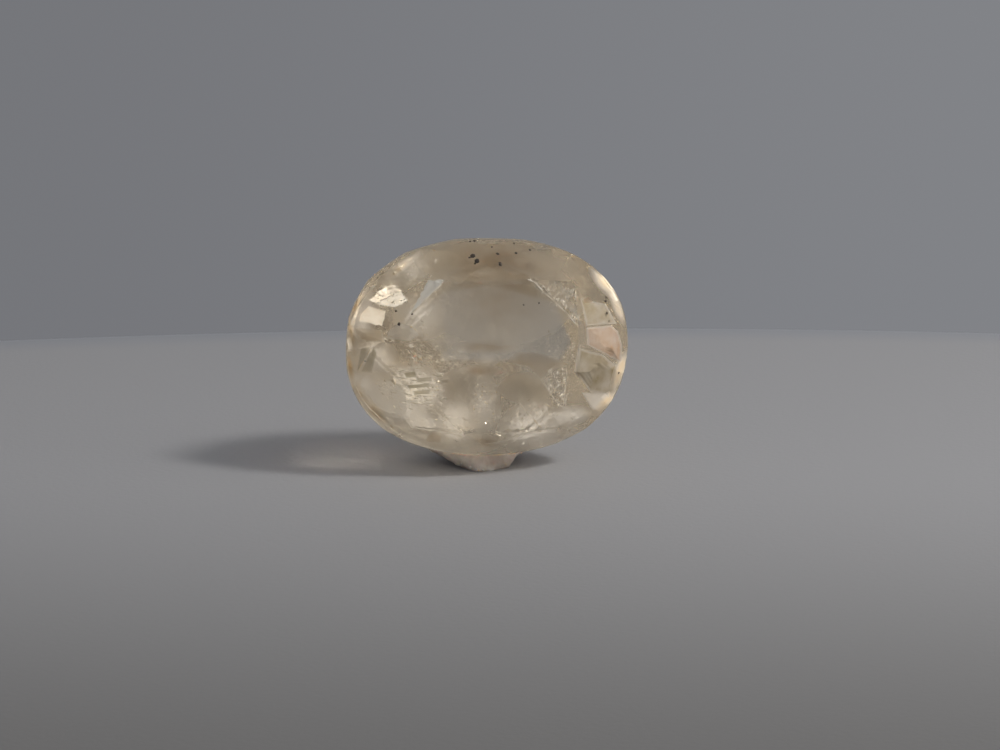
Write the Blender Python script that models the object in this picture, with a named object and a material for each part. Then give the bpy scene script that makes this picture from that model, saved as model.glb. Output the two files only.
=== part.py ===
"""Yellow sapphire: an oval faceted stone, stood on its edge in a small lump of wax.

Shapes are worked out in millimetres and scaled to metres as each object is made.
The stone is cut in its own frame, x along its length, y across it and z out of the
table, and is then stood up so that the table faces -Y and the length lies along X.
"""
import math

import bmesh
import bpy
from mathutils import Matrix, Vector, noise

MM = 0.001

# The oval, a little fuller at its corners than an ellipse, whose fullness would be 2, and
# how deep each part of the cut is
LENGTH = 11.0
WIDTH = 8.5
FULLNESS = 2.3
CROWN = 1.40
GIRDLE = 0.20
SIDES_OF_OVAL = 96

# The table is an octagon, nearly as wide as it is long, cut a little out of true
TABLE_LENGTH = 7.1
TABLE_WIDTH = 6.5
TABLE_FACETS = 8
TABLE_TURN = 22.5
CUTTERS_SLIPS = (4.5, -2.5, 5.5, -1.5, 2.5, 5.5, -0.5, 3.5)
STAR_TILT = 21.0
BREAK_EXTRA_TILT = 7.0

# The pavilion's outer rings of facets: each one's tilt, the way in from the girdle where
# it begins, its number of facets and where the first one stands
PAVILION_RINGS = (
    (64.0, 0.00, 16, 0.0),
    (47.0, 0.85, 16, 11.25),
)

# The pavilion's mains run from the last ring to a short keel, which the cutter left
# nearer to one side of the stone than to the other
MAINS = 8
MAINS_INSET = 2.15
MAINS_DEPTH = 1.25
KEEL_HALF_LENGTH = 1.3
KEEL_OFF_MIDDLE = 0.8
KEEL_FLAT = 0.10

# How the stone stands: its height above the surface, and how far its right side sinks
STONE_RISE = 0.66
STONE_ROLL = 2.5

# The wax: a lump that is narrower at its foot than where it grips the stone
WAX_FOOT_HALF_WIDTH = 1.0
WAX_FOOT_HALF_DEPTH = 1.75
WAX_LIP_HALF_WIDTH = 2.25
WAX_LIP_HALF_DEPTH = 1.6
WAX_BACK = 1.5
WAX_HEIGHT = 1.8
WAX_SIDES = 32
WAX_LEVELS = 8
WAX_WIDEST_AT = 0.5
WAX_WAVE = 0.09
WAX_WAVES_PER_MM = 0.9

# The stone and the wax hardly part: at this size a mesh rounds to far less than this
GAP = 0.03


def signed_power(value, power):
    return math.copysign(abs(value) ** power, value)


def oval(turn, inset=0.0):
    """A point of the girdle's outline, or of a line that far inside it."""
    angle = math.radians(turn)
    along = signed_power(math.cos(angle), 2 / FULLNESS)
    across = signed_power(math.sin(angle), 2 / FULLNESS)
    return Vector(((LENGTH / 2 - inset) * along, (WIDTH / 2 - inset) * across, 0))


def outward(turn):
    """The level direction that leaves the outline squarely at this turn."""
    angle = math.radians(turn)
    along = signed_power(math.cos(angle), 2 - 2 / FULLNESS)
    across = signed_power(math.sin(angle), 2 - 2 / FULLNESS)
    return Vector((along / LENGTH, across / WIDTH, 0)).normalized()


def tilted(level, tilt, side):
    """A facet's normal: level leans it out, side is 1 on the crown and -1 on the pavilion."""
    lean = math.radians(tilt)
    return level * math.sin(lean) + Vector((0, 0, side * math.cos(lean)))


def table_corner(index):
    turn = TABLE_TURN + index * 360 / TABLE_FACETS + CUTTERS_SLIPS[index % TABLE_FACETS]
    angle = math.radians(turn)
    return Vector(
        (
            TABLE_LENGTH / 2 * math.cos(angle),
            TABLE_WIDTH / 2 * math.sin(angle),
            GIRDLE / 2 + CROWN,
        )
    )


def crown_facets():
    """Each facet as a point on it and its outward normal: table, mains, stars and breaks."""
    top = GIRDLE / 2
    facets = [(Vector((0, 0, top + CROWN)), Vector((0, 0, 1)))]
    step = 360 / TABLE_FACETS
    for index in range(TABLE_FACETS):
        turn = TABLE_TURN + index * step
        foot = oval(turn) + Vector((0, 0, top))
        corner = table_corner(index)
        along = Vector((0, 0, 1)).cross(outward(turn))
        main = along.cross(corner - foot).normalized()
        main = main if main.z > 0 else -main
        facets.append((foot, main))

        edge = table_corner(index + 1) - corner
        level = edge.cross(Vector((0, 0, 1))).normalized()
        facets.append((corner, tilted(level, STAR_TILT, 1)))

        main_tilt = math.degrees(main.angle(Vector((0, 0, 1))))
        for side in (-1, 1):
            at = turn + side * step / 4
            facets.append(
                (oval(at) + Vector((0, 0, top)), tilted(outward(at), main_tilt + BREAK_EXTRA_TILT, 1))
            )
    return facets


def ring_depths():
    """How far below the girdle's middle each outer ring begins, and last of all the mains."""
    depths = [GIRDLE / 2]
    insets = [ring[1] for ring in PAVILION_RINGS] + [MAINS_INSET]
    for (tilt, inset, _, _), end in zip(PAVILION_RINGS, insets[1:]):
        depths.append(depths[-1] + (end - inset) * math.tan(math.radians(tilt)))
    return depths


def keel_depth():
    """How far below the girdle's middle the stone ends."""
    return ring_depths()[-1] + MAINS_DEPTH - KEEL_FLAT


def pavilion_facets():
    """The outer rings, the mains that meet in the keel, and the flat ground on the keel."""
    facets = []
    depths = ring_depths()
    for (tilt, inset, count, first), depth in zip(PAVILION_RINGS, depths):
        for index in range(count):
            turn = first + index * 360 / count
            start = oval(turn, inset) - Vector((0, 0, depth))
            facets.append((start, tilted(outward(turn), tilt, -1)))
    for index in range(MAINS):
        turn = index * 360 / MAINS
        start = oval(turn, MAINS_INSET)
        keel_x = max(-KEEL_HALF_LENGTH, min(KEEL_HALF_LENGTH, start.x))
        run = (start - Vector((keel_x, -KEEL_OFF_MIDDLE, 0))).dot(outward(turn))
        tilt = math.degrees(math.atan2(MAINS_DEPTH, run))
        facets.append((start - Vector((0, 0, depths[-1])), tilted(outward(turn), tilt, -1)))
    facets.append((Vector((0, 0, -keel_depth())), Vector((0, 0, -1))))
    return facets


def girdle_plane():
    """Where the girdle stands along Y, so that table and keel are equally far from the origin."""
    table = GIRDLE / 2 + CROWN
    return (table - keel_depth()) / 2


def keep_inside(mesh, point, normal):
    """Grinds away what lies beyond the plane, and closes the cut with one flat face."""
    everything = mesh.verts[:] + mesh.edges[:] + mesh.faces[:]
    cut = bmesh.ops.bisect_plane(
        mesh, geom=everything, dist=1e-5, plane_co=point, plane_no=normal, clear_outer=True
    )
    rim = [piece for piece in cut["geom_cut"] if isinstance(piece, bmesh.types.BMEdge)]
    rim = [edge for edge in rim if edge.is_boundary]
    if rim:
        bmesh.ops.edgeloop_fill(mesh, edges=rim)


def stone_mesh(grown=0.0):
    """The cut stone standing on its edge. Grown, each facet is moved out by that much."""
    mesh = bmesh.new()
    height = 2 * (keel_depth() + CROWN + GIRDLE + grown)
    bmesh.ops.create_cone(
        mesh, cap_ends=True, segments=SIDES_OF_OVAL, radius1=1, radius2=1, depth=height
    )
    for vert in mesh.verts:
        turn = math.degrees(math.atan2(vert.co.y, vert.co.x))
        rim = oval(turn, -grown)
        vert.co = (rim.x, rim.y, vert.co.z)
    for point, normal in crown_facets() + pavilion_facets():
        keep_inside(mesh, point + normal * grown, normal)
    bmesh.ops.recalc_face_normals(mesh, faces=mesh.faces)
    upright = Matrix.Rotation(math.pi / 2, 4, "X")
    roll = Matrix.Rotation(math.radians(STONE_ROLL), 4, "Y")
    stand = Matrix.Translation((0, girdle_plane(), STONE_RISE + WIDTH / 2)) @ roll @ upright
    bmesh.ops.transform(mesh, matrix=stand, verts=mesh.verts)
    return mesh


def wax_mesh():
    """The lump before the stone is pressed into it: rings that widen upwards, a little wavy."""
    middle = girdle_plane() + WAX_BACK
    mesh = bmesh.new()
    bmesh.ops.create_cone(
        mesh, cap_ends=True, segments=WAX_SIDES, radius1=1, radius2=1, depth=WAX_HEIGHT
    )
    bmesh.ops.translate(mesh, vec=(0, 0, WAX_HEIGHT / 2), verts=mesh.verts)
    rising = [edge for edge in mesh.edges if edge.calc_length() > WAX_HEIGHT / 2]
    bmesh.ops.subdivide_edges(mesh, edges=rising, cuts=WAX_LEVELS - 1)
    for vert in mesh.verts:
        share = vert.co.z / WAX_HEIGHT
        spread = math.sin(min(1.0, share / WAX_WIDEST_AT) * math.pi / 2)
        half_width = WAX_FOOT_HALF_WIDTH + (WAX_LIP_HALF_WIDTH - WAX_FOOT_HALF_WIDTH) * spread
        half_depth = WAX_FOOT_HALF_DEPTH + (WAX_LIP_HALF_DEPTH - WAX_FOOT_HALF_DEPTH) * share
        x = vert.co.x * half_width
        y = vert.co.y * half_depth
        wave = noise.noise(Vector((x, y, vert.co.z)) * WAX_WAVES_PER_MM)
        swell = 1 + WAX_WAVE * wave
        vert.co.x = x * swell
        vert.co.y = middle + y * swell
    return mesh


def make_object(name, mesh, collection):
    data = bpy.data.meshes.new(name)
    bmesh.ops.scale(mesh, vec=(MM, MM, MM), verts=mesh.verts)
    mesh.to_mesh(data)
    mesh.free()
    thing = bpy.data.objects.new(name, data)
    collection.objects.link(thing)
    return thing


def make_material(name, colour, roughness, transmission, ior):
    material = bpy.data.materials.new(name)
    material.use_nodes = True
    shader = material.node_tree.nodes["Principled BSDF"]
    shader.inputs["Base Color"].default_value = (*colour, 1)
    shader.inputs["Roughness"].default_value = roughness
    shader.inputs["Metallic"].default_value = 0.0
    shader.inputs["Transmission Weight"].default_value = transmission
    shader.inputs["IOR"].default_value = ior
    return material


def make_sapphire(collection):
    stone = make_object("sapphire", stone_mesh(), collection)
    stone.data.materials.append(make_material("straw_sapphire", (0.93, 0.86, 0.66), 0.03, 1.0, 1.77))
    return stone


def make_wax(collection, cutters):
    """The wax carries the stone's own shape, pressed in with a hair of room."""
    wax = make_object("wax_foot", wax_mesh(), collection)
    wax.data.materials.append(make_material("beige_wax", (0.62, 0.52, 0.46), 0.45, 0.0, 1.45))
    press = make_object("stone_press", stone_mesh(GAP), cutters)
    press.hide_render = True
    press.display_type = "WIRE"
    dent = wax.modifiers.new("dent", "BOOLEAN")
    dent.operation = "DIFFERENCE"
    dent.solver = "EXACT"
    dent.object = press
    wax.data.shade_smooth()
    wax.data.set_sharp_from_angle(angle=math.radians(40))
    return wax


def main():
    for thing in list(bpy.data.objects):
        bpy.data.objects.remove(thing, do_unlink=True)
    parts = bpy.data.collections.new("yellow_sapphire")
    cutters = bpy.data.collections.new("cutters")
    cutters.hide_render = True
    bpy.context.scene.collection.children.link(parts)
    bpy.context.scene.collection.children.link(cutters)
    make_sapphire(parts)
    make_wax(parts, cutters)


main()
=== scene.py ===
"""Yellow sapphire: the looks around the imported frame.

Lengths are in millimetres here and become metres with MM. The row's axes are +X along
the oval, -Y out of the table and +Z up. Apart from the clouds, what lies inside the
crystal is placed by the pixel where the photograph shows it and by its depth behind
the facet there.
"""
import math
import random

import bmesh
import bpy
import numpy
from mathutils import Matrix, Quaternion, Vector, noise
from mathutils.bvhtree import BVHTree
from mathutils.geometry import intersect_point_tri_2d


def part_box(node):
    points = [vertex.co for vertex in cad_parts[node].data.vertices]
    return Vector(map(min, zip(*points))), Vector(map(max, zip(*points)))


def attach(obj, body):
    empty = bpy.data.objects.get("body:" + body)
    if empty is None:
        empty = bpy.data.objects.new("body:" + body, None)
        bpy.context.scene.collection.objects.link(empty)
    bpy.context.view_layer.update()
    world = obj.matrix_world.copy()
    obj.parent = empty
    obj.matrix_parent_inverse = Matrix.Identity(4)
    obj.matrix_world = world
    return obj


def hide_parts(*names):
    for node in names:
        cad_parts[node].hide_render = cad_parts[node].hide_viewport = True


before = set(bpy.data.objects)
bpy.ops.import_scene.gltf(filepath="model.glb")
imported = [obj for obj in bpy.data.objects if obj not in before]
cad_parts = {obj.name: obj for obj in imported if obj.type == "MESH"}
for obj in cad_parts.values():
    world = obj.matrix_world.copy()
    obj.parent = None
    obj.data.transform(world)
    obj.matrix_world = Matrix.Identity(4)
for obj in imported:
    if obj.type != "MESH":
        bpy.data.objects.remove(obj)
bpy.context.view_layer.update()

MM = 0.001
SEED = 11

# The photograph's frame, how many millimetres one of its pixels spans at the stone, and
# the pixel where the stone's middle shows
PHOTO_WIDTH = 1000
PHOTO_HEIGHT = 750
MM_PER_PIXEL = 0.0386
STONE_AT = (488.3, 347.8)

# The camera as it stands to the stone, and how near and far it sees, in shares of CAMERA_AWAY
VIEW_TURN = math.radians(10)
VIEW_RISE = math.radians(13)
CAMERA_AWAY = 110.0
CAMERA_NEAR = 0.05
CAMERA_FAR = 50
SENSOR = 36.0

# The key lamp, seen from the stone: how far round to the right of the camera's line, and up.
# A second lamp stands at the same place, for what lies inside the crystal
KEY_TURN = math.radians(70)
KEY_RISE = math.radians(44)
KEY_AWAY = 160.0
KEY_SIDE = 26.0
KEY_WATTS = 0.085
KEY_COLOUR = (1.0, 0.97, 0.94)
INSIDE_WATTS = 0.17

# The studio around: the backdrop's colour from left to right, and the soft box round the key
BACKDROP_LEFT = (0.178, 0.182, 0.196)
BACKDROP_RIGHT = (0.222, 0.228, 0.244)
BACKDROP_SPREAD = 0.2
SOFT_BOX_GLOW = (1.5, 1.45, 1.38)
SOFT_BOX_INNER = math.cos(math.radians(14))
SOFT_BOX_OUTER = math.cos(math.radians(24))

# How often light may bounce before it is given up
BOUNCES = 40

# The crystal. Facets whose normal leans less than GIRDLE_LEAN to the front or the back are
# the girdle's. Triangles within FLAT_WITHIN of each other are one facet, and edges sharper
# than SHARP_FROM are worn over EDGE_WEAR
IOR = 1.77
CRYSTAL_TINT = (1.0, 0.93, 0.82)
CRYSTAL_ABSORPTION = (0.95, 0.84, 0.62)
CRYSTAL_DENSITY = 60.0
CROWN_ROUGHNESS = 0.18
PAVILION_ROUGHNESS = 0.22
GIRDLE_ROUGHNESS = 0.55
EDGE_WEAR = 0.03
SHARP_FROM = math.radians(8)
FLAT_WITHIN = math.radians(0.3)
GIRDLE_LEAN = 0.25

# The floor: its middle lies towards the camera. Along its own Y it turns from pale to a painted
# shade, darker towards the camera, between two places, and it melts into the backdrop at its rim
FLOOR_RADIUS = 150.0
FLOOR_MIDDLE = (6.0, -125.0)
FLOOR_PALE_AT = 125.0
FLOOR_PAINTED_SHADE_AT = 85.0
FLOOR_RIM = 3.0
FLOOR_SIDES = 256
FLOOR_ROUGHNESS = 0.75
FLOOR_GRAINS_PER_MM = 4.0
FLOOR_GRAIN_DETAIL = 4.0
FLOOR_GRAIN_STRENGTH = 0.25
FLOOR_GRAIN_HEIGHT = 0.05
FLOOR_PALE = (0.50, 0.502, 0.515)
# Painted shade: the floor's colour towards the camera
FLOOR_PAINTED_SHADE = (0.235, 0.232, 0.228)
FLOOR_EDGE = (0.44, 0.455, 0.49)

# How far every place inside the crystal stays from its facets
SKIN = 0.03

# The clouds: how many places are tried on either side, the grains, the lumps and the
# slanting streaks that they gather in, and how thick the haze is everywhere, low down and
# at the left
CLOUD_TRIES = 240000
CLOUD_GRAIN_SIZE = (0.008, 0.014)
GRAIN_HEIGHT = 1.4
CLOUD_LUMPS_PER_MM = 0.55
CLOUD_STREAKS_PER_MM = 2.2
CLOUD_STREAKS_START = Vector((7.0, 3.0, 1.0))
CLOUD_STREAKS_LEAN = 0.5
CLOUD_STREAKS_LONG = 0.4
CLOUD_STREAKS_CLIMB = 0.3
CLOUD_BETWEEN_STREAKS = 0.3
CLOUD_EVERYWHERE = 0.02
CLOUD_LOW = 0.45
CLOUD_LOW_AT_MIDDLE = 0.5
CLOUD_LOW_OVER = 5.0
CLOUD_LEFT = 0.5
CLOUD_LEFT_AT_MIDDLE = 0.4
CLOUD_LEFT_OVER = 9.0

# Dark mineral grains just under the facets: where they show, their size, and their depth
DARK_SPECKS = (
    (472.6, 256.0, 0.27, 0.12),
    (477.0, 261.0, 0.20, 0.14),
    (469.5, 257.5, 0.12, 0.12),
    (475.0, 263.5, 0.12, 0.14),
    (470.0, 241.3, 0.13, 0.06),
    (474.5, 240.8, 0.12, 0.06),
    (492.0, 247.0, 0.10, 0.10),
    (498.0, 254.0, 0.13, 0.12),
    (516.0, 253.0, 0.13, 0.12),
    (500.2, 264.6, 0.13, 0.15),
    (514.0, 243.5, 0.10, 0.08),
    (530.0, 250.0, 0.10, 0.10),
    (606.0, 297.5, 0.13, 0.10),
    (605.5, 301.0, 0.13, 0.10),
    (607.0, 313.0, 0.12, 0.10),
    (609.0, 321.0, 0.08, 0.10),
    (618.5, 373.0, 0.13, 0.08),
    (396.0, 311.0, 0.12, 0.10),
    (399.0, 324.0, 0.14, 0.12),
    (412.0, 314.0, 0.09, 0.10),
    (523.5, 305.0, 0.09, 0.60),
    (539.0, 303.0, 0.09, 0.60),
    (477.0, 278.0, 0.07, 0.30),
    (365.0, 361.0, 0.10, 0.15),
)

# How many of its sizes a speck lies deep at the least, and the spread of its axes and points
SPECK_SINKS = 0.85
SPECK_SQUASH = (0.6, 1.15)
SPECK_LUMPS = (0.8, 1.2)

# Looks: two colours, how many waves a millimetre they mix in, roughness, transmission, metallic.
# The colours mix where the waves are between two levels
WAVES_BETWEEN = (0.35, 0.65)
WAVES_DETAIL = 5.0
PLAIN_IOR = 1.5
CLOUD_LOOK = (((0.95, 0.92, 0.86), (0.88, 0.84, 0.76)), 1.5, 0.45)
DARK_LOOK = (((0.030, 0.022, 0.016), (0.060, 0.042, 0.030)), 6.0, 0.85)
PALE_LOOK = (((0.93, 0.90, 0.84), (0.80, 0.76, 0.67)), 2.5, 0.45)
BRIGHT_LOOK = (((1.0, 0.96, 0.86), (0.95, 0.86, 0.70)), 4.0, 0.35, 0.0, 0.9)
# Painted light: the mirror look of the plates that stand in for the rim's glow and the light leaving the
# upper left
PAINTED_LIGHT_MIRROR_LOOK = (((1.0, 0.96, 0.88), (0.90, 0.83, 0.72)), 3.0, 0.52, 0.0, 0.85)
# Painted reflection: the look of the left star facet's bluish-white sheen
STAR_SHEEN_LOOK = (((0.90, 0.92, 0.92), (0.80, 0.80, 0.78)), 2.0, 0.4, 0.6)

# Plates: how thick they are, and how long and how ragged in pixels their outlines' steps are
PLATE_THICKNESS = 0.02
PLATE_STEP = 3.5
PLATE_RAGGED = 0.45

# Flat plates, fractures and painted light: the pixels of each one's outline, its depth, and how much
# deeper it gets to the right and upwards, which turns it towards the key
# Painted light: bright mirror plates turned to the key, for the glow along the left and lower rim, the
# key's reflection at the upper right rim and the light that leaves the stone at the upper left
PAINTED_LIGHT_PLATES = (
    (((348, 352), (347.5, 338), (350, 326), (354, 327), (352, 339), (352, 352)), 0.05, 0.55, 0.3),
    (((350, 325), (354, 312), (358, 303), (361, 305), (357, 315), (354, 326)), 0.05, 0.55, 0.3),
    (((385, 423), (398, 432), (410, 438), (411, 435), (400, 429), (388, 420)), 0.05, 0.3, 0.6),
    (((411, 439), (428, 445), (444, 449), (445, 446), (430, 442), (412, 435)), 0.05, 0.3, 0.6),
    (((603, 276), (611, 286), (618, 300), (616, 301), (609, 289), (600, 278)), 0.05, 0.3, 0.3),
    (((359, 321), (361, 314), (368.5, 306), (386, 311), (382, 326)), 0.10, 0.42, 0.36),
    (((369, 300), (376, 293), (386, 286), (396, 285), (399, 290), (388, 297), (376, 303)), 0.10, 0.5, 0.5),
)
PALE_PLATES_AND_PAINTED_LIGHT = (
    # The first is painted light, a cream patch where light that crossed the stone leaves it at the upper
    # left; the second is a pale fracture
    (((376, 304), (388, 298), (400, 290), (408, 301), (395, 307)), 0.15, 0.6, 0.5),
    (((400, 392), (412, 384), (420, 392), (412, 402)), 0.4, 0.5, 0.5),
)
# Painted reflection: a bluish-white plate just under the left star facet, for the facet's bluish-white
# sheen
STAR_SHEEN_PLATES = (
    (((428, 281), (445, 280), (410, 315)), 0.10, 0.0, 0.0),
)

# Veils: healed fractures, thick in the middle and thinning out to nothing. The golden sheets and
# puffs along the outline are painted light instead, the rim's warm glow. A sheet is an
# outline in pixels, its depth, how thick it is in the middle, and the share of the way out
# where it starts to thin. A puff is its middle in pixels, its half length and half width,
# its lean in degrees, its depth and how thick it is in the middle
WHITE_SHEETS = (
    (((386, 338), (390, 329), (399, 323), (412, 326), (419, 334), (411, 341)), 0.25, 0.35, 0.8),
    (((581, 392), (608, 393), (610, 400), (602, 410), (592, 410)), 0.2, 0.35, 0.8),
)
WHITE_PUFFS = (
    (568, 416, 26, 11, 10, 0.3, 0.35),
    (487, 360, 12, 7, 0, 2.0, 0.06),
    (410, 271, 34, 15, 35, 0.2, 0.08),
    (386, 398, 30, 18, -40, 0.3, 0.95),
    (362, 384, 18, 14, -40, 0.2, 0.7),
    (416, 422, 46, 18, -35, 0.4, 0.95),
    (414, 388, 38, 26, -15, 1.4, 0.5),
    (456, 414, 26, 20, 0, 1.8, 0.25),
    (484, 404, 18, 32, 0, 1.2, 0.12),
    (528, 422, 34, 22, 30, 1.6, 0.2),
    (422, 315, 30, 26, 0, 1.4, 0.12),
    (374, 360, 26, 24, 0, 1.2, 0.5),
    (380, 410, 32, 20, -42, 0.5, 1.0),
    (362, 318, 16, 30, -20, 0.4, 0.5),
    (545, 440, 40, 14, 12, 0.8, 0.3),
    (440, 446, 40, 9, -14, 0.3, 0.7),
)
# Painted light: golden veils just under the facets along the outline, the warm glow of light focused
# through the stone at its rim
RIM_GLOW_SHEETS = (
    (((353, 327), (382, 330), (385, 342), (354, 342)), 0.12, 0.35, 0.8),
)
RIM_GLOW_PUFFS = (
    (351, 330, 5, 26, 8, 0.05, 0.8),
    (357, 304, 6, 22, -25, 0.05, 0.8),
    (350, 366, 5, 20, 10, 0.05, 0.8),
    (360, 392, 7, 20, 30, 0.08, 0.8),
    (376, 412, 8, 20, 45, 0.10, 0.8),
    (604, 282, 9, 24, 40, 0.10, 0.6),
    (617, 306, 6, 24, 22, 0.05, 0.6),
    (620, 372, 7, 26, -18, 0.08, 0.9),
    (606, 402, 7, 20, -45, 0.10, 0.7),
    (400, 268, 30, 6, 36, 0.05, 0.5),
)
BROWN_SHEETS = (
    (((424, 442), (431, 431), (442, 436), (441, 443)), 0.2, 0.8, 0.7),
    (((505, 362), (515, 352), (536, 352), (555, 357), (567, 364), (541, 379), (528, 367)), 1.2, 0.6, 0.7),
    (((582, 299), (588, 296), (594, 303), (585, 304)), 0.15, 0.7, 0.6),
)
BROWN_PUFFS = (
    (482, 442, 22, 10, 0, 0.5, 0.6),
    (487, 347, 36, 8, 0, 2.0, 1.0),
    (490, 258, 78, 28, 0, 0.5, 1.0),
    (500, 298, 78, 48, 0, 1.6, 0.65),
    (480, 371, 24, 6, 0, 1.4, 1.0),
)
PEACH_SHEETS = (
    (
        ((586, 328), (611, 325), (618, 331), (622, 345), (621, 363), (603, 353), (587, 345)),
        0.22, 0.85, 0.92,
    ),
)
KHAKI_SHEETS = (
    (((579, 348), (602, 354), (621, 368), (616, 397), (590, 392), (574, 372)), 0.30, 0.8, 0.85),
    (((580, 298), (606, 304), (617, 324), (586, 326)), 0.2, 0.8, 0.8),
)
GREY_SHEETS = (
    (((404, 373), (415, 371), (417, 377), (406, 378)), 0.15, 1.0, 0.8),
    (((416, 378), (432, 377), (432, 381), (417, 382)), 0.15, 1.0, 0.8),
    (((406, 385), (430, 383), (431, 387), (408, 389)), 0.15, 1.0, 0.8),
    (((412, 391), (431, 389), (430, 394), (414, 395)), 0.15, 0.9, 0.8),
    (((440, 380), (450, 379), (448, 383), (441, 383)), 0.3, 0.6, 0.5),
    (((357, 372), (361, 348), (371, 346), (364, 360), (358, 371)), 0.2, 0.8, 0.85),
    (((361, 372), (366, 361), (374, 346), (377, 353), (372, 373)), 0.2, 0.8, 0.85),
)
GREY_PUFFS = (
    (462, 384, 24, 16, 0, 1.6, 0.4),
    (526, 388, 28, 16, 0, 1.6, 0.4),
)
WHITE_VEIL = (0.97, 0.93, 0.86)
# The painted rim glow's colour
RIM_GLOW_COLOUR = (0.90, 0.72, 0.42)
BROWN_VEIL = (0.74, 0.65, 0.54)
PEACH_VEIL = (0.50, 0.34, 0.20)
KHAKI_VEIL = (0.36, 0.28, 0.13)
GREY_VEIL = (0.52, 0.50, 0.42)
VEIL_ROUGHNESS = 0.4
VEIL_IOR = 1.01
VEIL_UNEVEN_BETWEEN = (0.3, 0.7)
VEIL_UNEVEN = (0.55, 1.2)
VEIL_DETAIL = 6.0
STEP_INWARDS = 0.01
PUFF_SIDES = 16
PUFF_TURNED = 0.35
PUFF_RAISED = 0.35
LEAST_DEPTH = 0.08
VEIL_RINGS = 6
VEIL_INNERMOST = 0.02
VEIL_WAVES_PER_MM = 1.6

# Streaks: each is a line through pixels, its width in millimetres and its depth. A sliver
# reaches a little more than half its run to either side, so that it meets the next
STREAK_REACH = 0.58
STREAK_WIDTHS = (0.8, 1.2)
BRIGHT_STREAKS_AND_RIM_GLINTS = (
    (((371, 299), (378, 291), (386, 286), (393, 284)), 0.07, 0.15),
    # Painted highlight: a glint on the rim at the upper left, as a bright sliver just under the facet
    (((392, 276), (398, 271), (404, 265)), 0.18, 0.08),
    (((426, 264), (429, 270)), 0.07, 0.12),
    (((410, 326), (413, 328), (416, 330)), 0.08, 0.15),
    (((412, 353), (417, 356), (422, 360)), 0.22, 0.15),
    (((393, 378), (395, 385)), 0.24, 0.12),
    (((371, 348), (365, 359), (358, 370)), 0.06, 0.2),
    (((533, 418), (538, 425), (541, 432)), 0.05, 0.6),
    (((495, 431), (499, 433), (502, 436)), 0.06, 0.6),
    (((545, 404), (551, 407)), 0.06, 0.5),
    (((573, 427), (579, 430)), 0.05, 0.2),
    # These three are painted highlights: the key's glints on the crown along the outline, as bright
    # slivers just under the facets
    (((590, 266), (603, 278), (613, 292)), 0.06, 0.05),
    (((399, 259), (407, 256)), 0.06, 0.04),
    (((432, 249.5), (436, 251)), 0.05, 0.04),
    (((602, 404), (604, 406)), 0.09, 0.1),
)
PALE_STREAKS_AND_EDGE_HIGHLIGHTS = (
    # The first four are painted highlights: the bright edges of the two star facets and of the left rim,
    # as pale slivers just under the facets
    (((410, 315), (420, 305), (431, 294), (443, 283)), 0.09, 0.06),
    (((527, 279), (534, 282), (544, 293), (555, 302), (566, 313), (577, 326)), 0.09, 0.07),
    (((350, 322), (357, 308), (366, 295), (378, 282)), 0.07, 0.05),
    (((354, 384), (362, 399), (372, 412)), 0.07, 0.05),
    (((386, 338), (390, 329), (399, 323), (412, 326), (419, 334)), 0.04, 0.2),
    (((386, 338), (396, 340), (411, 340)), 0.035, 0.2),
    (((419, 325), (424, 332), (424, 340)), 0.04, 0.22),
    (((397, 372), (408, 369), (420, 368)), 0.06, 0.35),
    (((396, 378), (410, 379), (428, 384), (436, 385)), 0.06, 0.35),
    (((403, 384), (416, 388), (434, 391)), 0.06, 0.40),
    (((402, 392), (414, 396), (432, 397)), 0.07, 0.42),
    (((408, 402), (420, 404), (436, 404)), 0.06, 0.45),
    # These two are painted highlights: the bright line along the lower rim
    (((366, 404), (385, 424), (404, 437)), 0.07, 0.05),
    (((404, 437), (425, 446), (460, 454)), 0.05, 0.05),
    (((428, 431), (440, 430), (463, 436)), 0.05, 0.25),
    (((519, 403), (525, 410), (530, 417)), 0.05, 0.8),
    (((520, 420), (524, 424), (520, 430)), 0.04, 0.8),
    (((527, 440), (530, 448)), 0.04, 0.5),
    (((541, 378), (548, 390), (556, 402), (565, 409)), 0.05, 0.6),
    (((566, 366), (567, 380), (565, 396), (566, 409)), 0.05, 0.55),
    (((545, 372), (556, 367), (566, 366)), 0.04, 0.55),
)

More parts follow.
